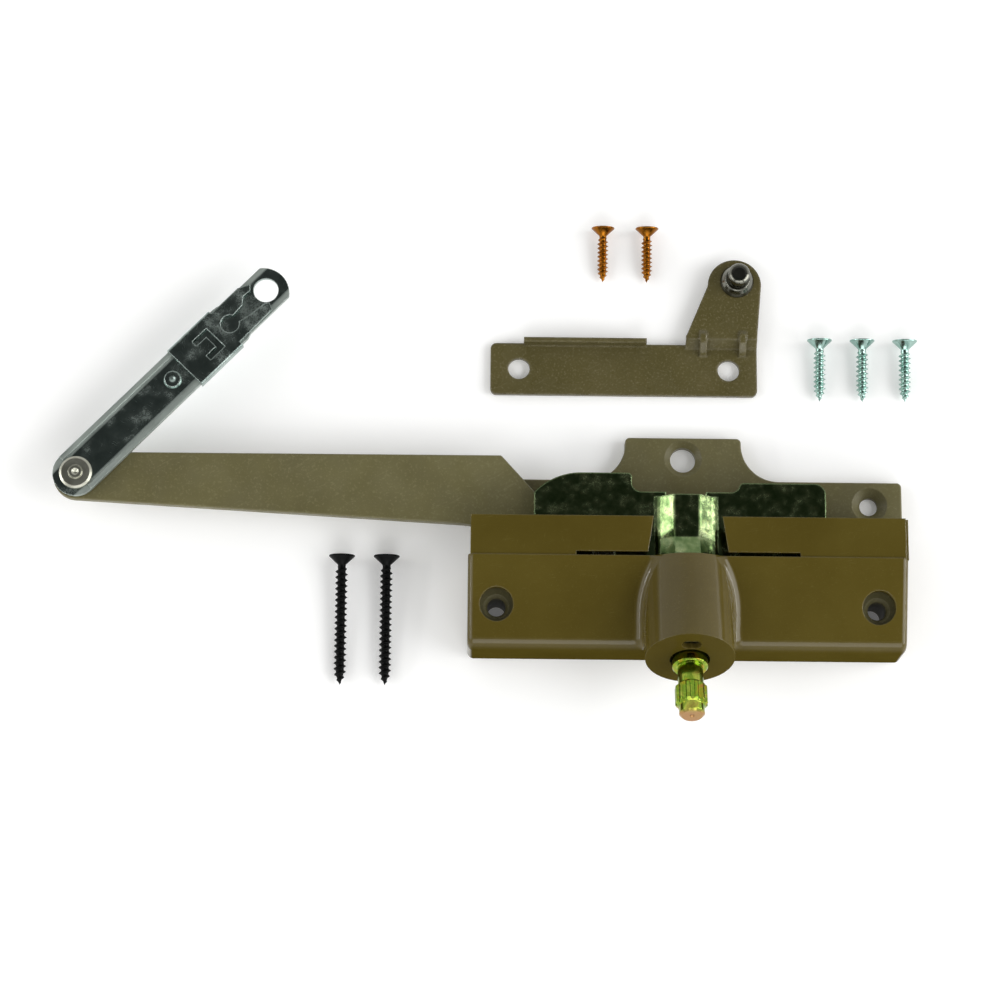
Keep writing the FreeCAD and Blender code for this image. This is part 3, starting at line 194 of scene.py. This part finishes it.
def moulded_plastic(name, dark, light, worn):
    """Glossy moulded plastic, a little wavy, with fine rub marks and a painted highlight along its edges; faces
    turned to -Y get painted shade, darker and less reflective.
    """
    finish = Finish(name, Metallic=0.0)
    base = finish.ramp(finish.noise(0.03, 4.0), (0.3, colour(dark)), (0.7, colour(light)))
    dust = finish.level(finish.noise(0.0004, 2.0), 0.62, 0.78, 0.0, 0.25)
    base = finish.blend(dust, base, colour(worn))
    edge, rounded = finish.edges(0.0005)
    rubs = finish.maths("MAXIMUM", finish.scratches(0.0002, 0.006, 0.15),
                         finish.scratches(0.0002, 0.004, 1.3))
    # the rub marks are wear; the edges are painted lighter in the worn colour all along them, a painted edge
    # highlight
    marks = finish.maths("MAXIMUM", finish.maths("MULTIPLY", rubs, 0.2),
                          finish.maths("MULTIPLY", edge, 0.5))
    base = finish.blend(marks, base, colour(worn))
    # painted shade: faces turned to -Y are darkened towards 2A2408 and their reflection is turned down, standing
    # for the shade on the cover's front wall
    front = finish.facing("Y", -0.6, -1.0)
    base = finish.blend(finish.maths("MULTIPLY", front, 0.35), base, colour("2A2408"))
    finish.feed(finish.shader.inputs["Specular IOR Level"], finish.level(front, 0.0, 1.0, 0.38, 0.0))
    roughness = finish.level(finish.noise(0.012, 4.0), 0.3, 0.75, 0.05, 0.12)
    waves = finish.relief(finish.noise(0.009, 2.0), 0.00006, rounded)
    skin = finish.relief(finish.noise(0.0009, 2.0), 0.000008, waves)
    return finish.finished(base, roughness, skin)


def plated_steel(name, stops, smooth, rough, stain, patch=0.006, scratch=0.5, bend=0.0003,
                 rubbed=None, tinted=None):
    """Plated steel: tinted by the plating, with dull smudges, fine scratches and edges painted in the stain
    colour, a painted edge highlight.

    rubbed is (origin, turn, inner, outer) of a line whose far sides are made rougher in streaks and painted
    lighter in the stain colour, a painted sheen, and tinted is a colour code with such a line, for a tint that
    fades away from it.
    """
    finish = Finish(name, Metallic=1.0)
    base = finish.ramp(finish.noise(patch, 4.0, warp=0.4), *[(at, colour(code)) for at, code in stops])
    if tinted:
        away = finish.across(*tinted[1:])
        base = finish.blend(finish.maths("SUBTRACT", 1.0, away), base, colour(tinted[0]))
    edge, rounded = finish.edges(bend)
    lines = finish.maths("MAXIMUM", finish.scratches(0.00012, 0.006, 0.7),
                          finish.scratches(0.00012, 0.005, -0.5))
    lines = finish.maths("MULTIPLY", finish.maths("MAXIMUM", lines, finish.scratches(0.0001, 0.007, 1.4)),
                          scratch)
    smudge = finish.level(finish.noise(patch, 4.0), 0.42, 0.75)
    mottle = finish.level(finish.noise(0.0005, 3.0), 0.3, 0.8, 0.4, 1.0)
    dull = finish.maths("MULTIPLY", smudge, mottle)
    if rubbed:
        # painted sheen: beyond the line the surface is painted lighter in the stain colour, standing for light on
        # rolled edges, and made rougher in streaks
        brushed = finish.level(finish.noise(0.0012, 3.0, 14, rubbed[1]), 0.2, 0.6, 0.75, 1.1)
        dull = finish.maths("MAXIMUM", dull, finish.maths("MULTIPLY", finish.across(*rubbed), brushed))
    # painted highlight: every edge gets the stain colour, lighter than the plating in most finishes, and is made
    # rougher
    dull = finish.maths("MAXIMUM", dull, finish.maths("MULTIPLY", edge, 0.85))
    base = finish.blend(finish.maths("MULTIPLY", dull, 0.6), base, colour(stain))
    even = finish.level(finish.noise(0.0007, 3.0), 0.3, 0.8, smooth, smooth + 0.06)
    roughness = finish.maths("ADD", even, finish.maths("MULTIPLY", dull, rough - smooth))
    roughness = finish.maths("ADD", roughness, finish.maths("MULTIPLY", lines, 0.3))
    dents = finish.relief(finish.noise(0.005, 2.0), 0.00003, rounded)
    grain = finish.relief(lines, -0.000006, dents)
    return finish.finished(base, roughness, grain)


def plain_finish(name, dark, light, rough, metallic=0.0):
    """An even finish with fine grain, for bushings, washers and the seal."""
    finish = Finish(name, Metallic=metallic)
    base = finish.ramp(finish.noise(0.002, 4.0), (0.3, colour(dark)), (0.7, colour(light)))
    edge, rounded = finish.edges(0.0002)
    # painted highlight: edges are painted a little lighter in the light colour
    base = finish.blend(finish.maths("MULTIPLY", edge, 0.3), base, colour(light))
    roughness = finish.level(finish.noise(0.001), 0.3, 0.7, rough - 0.06, rough + 0.08)
    return finish.finished(base, roughness, finish.relief(finish.noise(0.0005), 0.00002, rounded))


LINK_JOINT = next(joint for joint in frame["joints"] if joint["name"] == "link_pivot")
LOCK_JOINT = next(joint for joint in frame["joints"] if joint["name"] == "lock_slide")
LINK_TURN = math.atan2(LOCK_JOINT["axis"][1], LOCK_JOINT["axis"][0])
SHAFT_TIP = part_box("worm_shaft")[0].y
LINK_ZINC = [(0.3, "84938F"), (0.7, "A9B8B3")]

FINISHES = {
    "bronze_paint": satin_paint("bronze_paint", "5A5538", "676241", "86815F"),
    "dark_bronze_paint": satin_paint("dark_bronze_paint", "4C4627", "585132", "8C8468", gloss=0.24,
                                     bend=0.0011),
    "cover_plastic": moulded_plastic("cover_plastic", "4A3F14", "54491C", "7A7044"),
    "yellow_zinc": plated_steel("yellow_zinc", [(0.3, "50663E"), (0.5, "687A50"), (0.7, "868E62")],
                                0.09, 0.34, "9AAC86", patch=0.003, scratch=0.35, bend=0.0007),
    "bright_zinc": plated_steel("bright_zinc", LINK_ZINC, 0.1, 0.46, "D0DAD4", bend=0.0006),
    "bare_steel": plated_steel("bare_steel", [(0.3, "8A8A82"), (0.7, "A5A59B")], 0.22, 0.4, "8C8C80"),
    "stud_chrome": plated_steel("stud_chrome", [(0.3, "5C5C55"), (0.7, "7C7C74")], 0.05, 0.12, "8C8C80",
                                scratch=0.1, bend=0.0006),
    "sintered_bronze": plain_finish("sintered_bronze", "8A6A3C", "A8854E", 0.42, 1.0),
    "white_acetal": plain_finish("white_acetal", "CFCDC2", "DEDCD2", 0.4),
    "seal_rubber": plain_finish("seal_rubber", "17171A", "222224", 0.55),
    "bronze_screw": plated_steel("bronze_screw", [(0.3, "7A480F"), (0.7, "A86C20")], 0.16, 0.34, "5E3A0C",
                                 patch=0.003),
    "zinc_screw": plated_steel("zinc_screw", [(0.3, "7EA298"), (0.7, "B4CEC6")], 0.12, 0.3, "7A948C",
                               patch=0.003),
    "black_screw": satin_paint("black_screw", "040505", "090A0A", "161817", gloss=0.3, shine=0.08),
}

# nodes that share a slot but look different in the hand
OWN_FINISHES = {
    "worm_shaft": plated_steel("shaft_yellow_zinc", [
        (0.3, "B07848"), (0.4, "A09A2C"), (0.5, "6F962E"), (0.6, "AAB848"), (0.72, "8C6A3A")],
        0.1, 0.22, "A08A4A", patch=0.005, scratch=0.15, tinted=(
            "A87F58", (0, SHAFT_TIP, 0), 0, 0.0018, 0.0034)),
    # the link's sides get a painted sheen along both edges: lighter and rougher
    "link_arm": plated_steel("link_bright_zinc", LINK_ZINC, 0.09, 0.5, "B8BEB8", rubbed=(
        LINK_JOINT["pos_m"], LINK_TURN, 0.0045, 0.0056)),
    "link_rivet": plated_steel("rivet_dull_chrome", [(0.3, "A3A396"), (0.7, "B9B9AD")], 0.3, 0.42,
                               "8E8E82", scratch=0.2),
}

for node, piece in frame["nodes"].items():
    finish = OWN_FINISHES.get(node, FINISHES[SLOT_OF[node]])
    for holder in piece.material_slots:
        holder.material = finish


# ---- pieces built here --------------------------------------------------------------

def piece_from(name, points, faces, body, slot):
    """A smooth-shaded piece of one slot's finish that rides a body."""
    mesh = bpy.data.meshes.new(name)
    mesh.from_pydata(points, [], faces)
    shape = bmesh.new()
    shape.from_mesh(mesh)
    bmesh.ops.recalc_face_normals(shape, faces=shape.faces)
    shape.to_mesh(mesh)
    shape.free()
    for face in mesh.polygons:
        face.use_smooth = True
    piece = bpy.data.objects.new(name, mesh)
    bpy.context.scene.collection.objects.link(piece)
    mesh.materials.append(FINISHES[slot])
    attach(piece, body)
    return piece


def grid_faces(rows, columns):
    """Quads between rows of points, with each row's last column joined to its first."""
    faces = []
    for row in range(rows - 1):
        for column in range(columns):
            after = (column + 1) % columns
            faces.append((row * columns + column, row * columns + after,
                          (row + 1) * columns + after, (row + 1) * columns + column))
    return faces


def recess_depth(x, y, head):
    """Depth of a cross recess at a point of a screw's head."""
    arm, half = head * 0.55, head * 0.13
    across = min(abs(x), abs(y))
    along = max(abs(x), abs(y))
    inside = min((half - across) / (0.05 * head), (arm - along) / (0.25 * head))
    return head * 0.42 * max(0.0, min(1.0, inside))


STEPS_AROUND = 48
AROUND = [2 * math.pi * k / STEPS_AROUND for k in range(STEPS_AROUND)]


def ring(radius, depth):
    """Points round a screw's axis."""
    return [(radius * math.cos(angle), radius * math.sin(angle), depth) for angle in AROUND]


def screw_points(head, shank, length, pitch):
    """Rows of points of one threaded screw about +Z, from the head's middle to the tip."""
    head_rows, rows_per_pitch, crest_half = 14, 9, 0.3
    core, crest_radius = shank * 0.64, shank * 1.05
    taper_end = head * 0.72
    thread_start = taper_end + 0.5
    point_start = length - 2.2 * shank
    rows = []
    for step in range(head_rows + 1):
        flat = ring(head * 0.98 * step / head_rows, 0.0)
        rows.append([(x, y, recess_depth(x, y, head)) for x, y, _ in flat])
    rim_and_neck = [(head, 0.12), (head, 0.4), (head * 0.97, 0.52), (core * 1.08, taper_end),
                    (core, taper_end + 0.4)]
    rows += [ring(radius, depth) for radius, depth in rim_and_neck]
    count = int((length - thread_start) / (pitch / rows_per_pitch))
    for step in range(count + 1):
        depth = thread_start + (length - thread_start) * step / count
        narrowing = 0.0 if depth < point_start else (depth - point_start) / (length - point_start)
        thin = max(0.04, 1 - narrowing ** 1.8)
        grown = min(1.0, (depth - thread_start) / pitch)
        row = []
        for angle in AROUND:
            phase = (depth / pitch - angle / (2 * math.pi)) % 1.0
            crest = max(0.0, 1 - abs(phase - 0.5) / crest_half)
            radius = thin * (core + (crest_radius - core) * grown * crest)
            row.append((radius * math.cos(angle), radius * math.sin(angle), depth))
        rows.append(row)
    rows.append([(0.0, 0.0, length)] * len(AROUND))
    return rows


def threaded_screws(node, count, head, shank, length, pitch):
    """Threaded screws lying where the CAD's plain ones lie, with their heads' rims on the table."""
    low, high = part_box(node)
    lean = math.atan((head - shank) / (length - 2.4 * shank))
    spacing = (high.x - low.x - 2 * head * MM) / (count - 1)
    first = Vector((low.x + head * MM, high.y - head * MM * math.sin(lean), head * MM))
    rows = screw_points(head, shank, length, pitch)
    points, faces = [], []
    for screw in range(count):
        spin = Matrix.Rotation(0.5 + 1.9 * screw, 4, "Z")
        place = (Matrix.Translation(first + Vector((spacing * screw, 0, 0)))
                 @ Matrix.Rotation(math.pi / 2 + lean, 4, "X") @ spin @ Matrix.Scale(MM, 4))
        start = len(points)
        points += [place @ Vector(point) for row in rows for point in row]
        faces += [tuple(start + corner for corner in face) for face in grid_faces(len(rows), len(AROUND))]
    piece = piece_from(f"threaded_{node}", points, faces, BODY_OF[node], SLOT_OF[node])
    weld = bmesh.new()
    weld.from_mesh(piece.data)
    bmesh.ops.remove_doubles(weld, verts=weld.verts, dist=0.005 * MM)
    weld.to_mesh(piece.data)
    weld.free()
    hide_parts(node)


# radii, lengths and pitches in millimetres
threaded_screws("bracket_screws", 2, 3.9, 1.85, 18.8, 1.45)
threaded_screws("flange_screws", 3, 4.2, 2.05, 21.0, 1.6)
threaded_screws("tower_screws", 2, 4.3, 2.05, 43.0, 1.9)


def cover_fillets():
    """Moulded concave fillets between the cover's sloping face and both sides of its crank boss.

    Sizes are in millimetres and repeat the cover's own.
    """
    boss_radius, boss_y, boss_z, tilt = 14.4, -37.5, 29.0, math.radians(22)
    face_front, face_fold, face_low, face_high = -33.0, -3.4, 18.0, 26.0
    edge_round, edge_y, edge_z = 5.0, -28.115, 14.141
    narrow, wide, last_share, steepest = 2.3, 4.3, 0.35, math.radians(77)
    face_steps, edge_steps, arc_steps = 24, 9, 14
    skin, tuck, buried = 0.04, 0.4, 1.0
    slope = (face_high - face_low) / (face_fold - face_front)
    lean = math.atan(slope)

    def boss_side(y, z):
        """Half width of the boss at a height, and how fast it narrows upwards."""
        axis_height = boss_z - (y - boss_y) * math.tan(tilt)
        above = (z - axis_height) * math.cos(tilt)
        if above <= 0:
            return boss_radius - 0.1, 0.0
        width = math.sqrt(boss_radius ** 2 - above ** 2)
        return width, above * math.cos(tilt) / width

    # each station has its place along Y, the face's height there and the fillet's reach
    start = face_fold - 0.05
    end = edge_y - edge_round * math.sin(lean)
    stations = []
    for step in range(face_steps + 1):
        y = start + (end - start) * step / face_steps
        reach = narrow + (wide - narrow) * (step / face_steps) ** 0.8
        stations.append((y, face_low + slope * (y - face_front), reach))
    for step in range(1, edge_steps + 1):
        angle = lean + (steepest - lean) * step / edge_steps
        reach = wide * (last_share + (1 - last_share) * math.cos(angle - lean))
        stations.append((edge_y - edge_round * math.sin(angle), edge_z + edge_round * math.cos(angle), reach))

    for side, sign in (("left", -1), ("right", 1)):
        points = []
        for y, face, reach in stations:
            top = face + reach
            width, narrowing = boss_side(y, top)
            outer = boss_side(y, face)[0] + reach
            corner = width + narrowing * reach
            section = []
            for step in range(arc_steps + 1):
                t = step / arc_steps
                section.append(((1 - t) ** 2 * outer + 2 * t * (1 - t) * corner + t ** 2 * (width - skin),
                                (1 - t) ** 2 * (face - skin) + 2 * t * (1 - t) * face + t ** 2 * top))
            section += [(width - buried, top - tuck), (width - buried, face - buried), (outer, face - buried)]
            points += [(sign * x * MM, y * MM, z * MM) for x, z in section]
        columns = len(section)
        faces = grid_faces(len(stations), columns)
        faces.append(tuple(range(columns)))
        faces.append(tuple(range(len(points) - columns, len(points))))
        piece = piece_from(f"{side}_cover_fillet", points, faces, "base", "cover_plastic")
        for end_face in piece.data.polygons[-2:]:
            end_face.use_smooth = False


cover_fillets()


# ---- studio and camera --------------------------------------------------------------

OBJECT_MIDDLE = Vector((-0.05, 0, 0.02))


def floor():
    """A sheet of pale paper, a hair below everything, that glows a little so its far parts stay pale."""
    half = 4.0
    mesh = bpy.data.meshes.new("floor")
    level = min(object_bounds()[0].z, 0.0) - 0.1 * MM
    mesh.from_pydata([(-half, -half, level), (half, -half, level), (half, half, level),
                      (-half, half, level)], [], [(0, 1, 2, 3)])
    piece = bpy.data.objects.new("floor", mesh)
    bpy.context.scene.collection.objects.link(piece)
    paper = Finish("pale_paper", Metallic=0.0, Emission_Color=colour("FFFFFF"), Emission_Strength=0.1)
    base = paper.ramp(paper.noise(0.05), (0.0, colour("F9F9F9")), (1.0, colour("FCFCFC")))
    mesh.materials.append(paper.finished(base, 0.9, paper.add("ShaderNodeNewGeometry", {}).outputs["Normal"]))
    piece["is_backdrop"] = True


def soft_light(name, place, width, height, power):
    """A rectangular lamp aimed at the object, with its size in metres and its power in watts."""
    lamp = bpy.data.lights.new(name, "AREA")
    lamp.shape = "RECTANGLE"
    lamp.size, lamp.size_y, lamp.energy = width, height, power
    light = bpy.data.objects.new(name, lamp)
    light.location = place
    light.rotation_euler = (OBJECT_MIDDLE - Vector(place)).to_track_quat("-Z", "Y").to_euler()
    bpy.context.scene.collection.objects.link(light)


def studio_sky():
    """A tent of light that is bright low down and dark overhead, behind the camera."""
    world = bpy.data.worlds.new("studio")
    bpy.context.scene.world = world
    world.use_nodes = True
    tree = world.node_tree
    direction = tree.nodes.new("ShaderNodeTexCoord").outputs["Generated"]
    split = tree.nodes.new("ShaderNodeSeparateXYZ")
    ramp = tree.nodes.new("ShaderNodeValToRGB")
    tree.links.new(direction, split.inputs[0])
    tree.links.new(split.outputs["Z"], ramp.inputs["Fac"])
    elements = ramp.color_ramp.elements
    elements[0].position, elements[0].color = 0.0, (1.0, 1.0, 1.0, 1)
    elements[1].position, elements[1].color = 1.0, (0.05, 0.056, 0.052, 1)
    for position, shade in ((0.5, 1.0), (0.78, 0.45), (0.92, 0.08)):
        elements.new(position).color = (shade, shade, shade * 0.98, 1)
    back = tree.nodes["Background"]
    tree.links.new(ramp.outputs[0], back.inputs["Color"])
    back.inputs["Strength"].default_value = 0.95


def camera():
    """The photo's viewpoint, fitted to the outlines: almost overhead, leaning 13 degrees to the front."""
    data = bpy.data.cameras.new("camera")
    data.lens, data.sensor_width, data.clip_start = 97.2, 36.0, 0.01
    view = bpy.data.objects.new("camera", data)
    view.matrix_world = (Matrix.Translation((-0.0654, -0.1875, 0.8791))
                         @ Matrix.Rotation(math.radians(13.316), 4, "X")
                         @ Matrix.Rotation(math.radians(-0.276), 4, "Y")
                         @ Matrix.Rotation(math.radians(0.609), 4, "Z"))
    bpy.context.scene.collection.objects.link(view)
    bpy.context.scene.camera = view


floor()
studio_sky()
# each light's name, place, width, height and power
for light in (("left_strip", (-1.35, -0.1, 0.5), 1.1, 0.07, 4.0),
              ("right_strip", (1.35, -0.1, 0.34), 1.1, 0.09, 6.0),
              ("right_box", (1.3, -0.25, 1.0), 1.3, 0.9, 13.0),
              ("front_box", (0.1, -1.3, 0.95), 1.5, 0.9, 8.0),
              ("left_box", (-1.3, -0.25, 1.15), 1.2, 0.5, 3.0)):
    soft_light(*light)
camera()
bpy.context.scene.view_settings.view_transform = "Standard"
